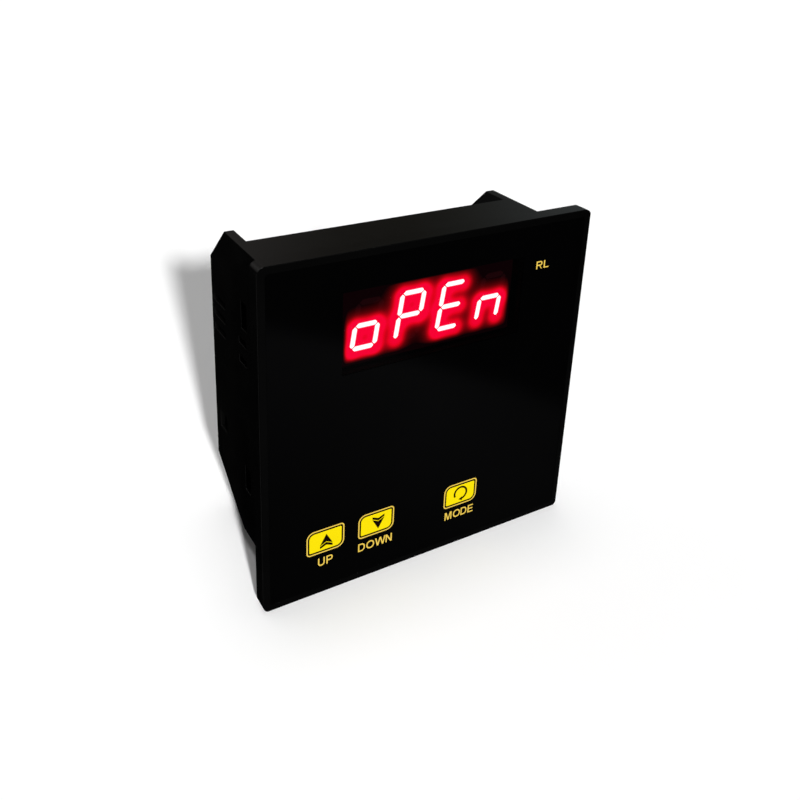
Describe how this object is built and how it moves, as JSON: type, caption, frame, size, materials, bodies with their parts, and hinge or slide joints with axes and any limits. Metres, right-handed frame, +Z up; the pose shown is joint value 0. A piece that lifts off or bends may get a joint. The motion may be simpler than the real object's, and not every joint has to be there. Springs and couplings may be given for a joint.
{
  "type": "panel-mount temperature controller",
  "caption": "Square panel-mount temperature controller with a black front, four red digits, yellow push keys, a shallow case and screw terminals in its rear recesses.",
  "frame": {"origin": "centre of the panel cut-out, on the plane where the skirt of the front bezel meets the panel", "axes": "+X to the right as seen from the front, +Y into the panel towards the terminals, +Z up"},
  "size_m": [0.096, 0.0476, 0.096],
  "materials": {
    "case_plastic": "black moulded plastic, fine satin grain",
    "front_sheet": "glossy black printed sheet",
    "key_yellow": "yellow moulded plastic",
    "switch_plastic": "black plastic",
    "digit_housing": "black plastic",
    "digit_bar": "clear red resin",
    "lamp_red": "red resin",
    "circuit_board": "green solder mask",
    "chip_black": "black resin",
    "connector_black": "black plastic",
    "screw_steel": "zinc plated",
    "core_steel": "varnished sheet stack",
    "bobbin_plastic": "black plastic",
    "coil_tape": "amber tape",
    "relay_case": "blue plastic",
    "capacitor_sleeve": "dark sleeve",
    "terminal_plastic": "black plastic",
    "clamp_brass": "plated brass"
  },
  "bodies": {
    "housing": {"front_bezel": "case_plastic", "case_body": "case_plastic", "front_film": "front_sheet", "relay_lamp": "lamp_red", "display_board": "circuit_board", "main_board": "circuit_board", "display_board_screws": "screw_steel", "main_board_screws": "screw_steel", "microcontroller": "chip_black", "voltage_regulator": "chip_black", "bridge_rectifier": "chip_black", "connector_pins": "connector_black", "connector_socket": "connector_black", "transformer_core": "core_steel", "transformer_bobbin": "bobbin_plastic", "transformer_coil": "coil_tape", "relay": "relay_case", "filter_capacitor": "capacitor_sleeve", "output_capacitor": "capacitor_sleeve", "switch_up": "switch_plastic", "switch_down": "switch_plastic", "switch_mode": "switch_plastic", "led_digit_1": "digit_housing", "digit_bars_1": "digit_bar", "led_digit_2": "digit_housing", "digit_bars_2": "digit_bar", "led_digit_3": "digit_housing", "digit_bars_3": "digit_bar", "led_digit_4": "digit_housing", "digit_bars_4": "digit_bar", "terminal_block_top": "terminal_plastic", "terminal_screws_top": "screw_steel", "wire_clamps_top": "clamp_brass", "terminal_block_bottom": "terminal_plastic", "terminal_screws_bottom": "screw_steel", "wire_clamps_bottom": "clamp_brass"},
    "up_key": {"key_up": "key_yellow", "plunger_up": "switch_plastic"},
    "down_key": {"key_down": "key_yellow", "plunger_down": "switch_plastic"},
    "mode_key": {"key_mode": "key_yellow", "plunger_mode": "switch_plastic"}
  },
  "joints": [
    {"name": "up_press", "type": "slide", "parent": "housing", "child": "up_key", "axis": [0, 1, 0], "range_m": [0, 0.0003], "stiffness_N_per_m": 1500, "springref_m": -0.0002},
    {"name": "down_press", "type": "slide", "parent": "housing", "child": "down_key", "axis": [0, 1, 0], "range_m": [0, 0.0003], "stiffness_N_per_m": 1500, "springref_m": -0.0002},
    {"name": "mode_press", "type": "slide", "parent": "housing", "child": "mode_key", "axis": [0, 1, 0], "range_m": [0, 0.0003], "stiffness_N_per_m": 1500, "springref_m": -0.0002}
  ]
}
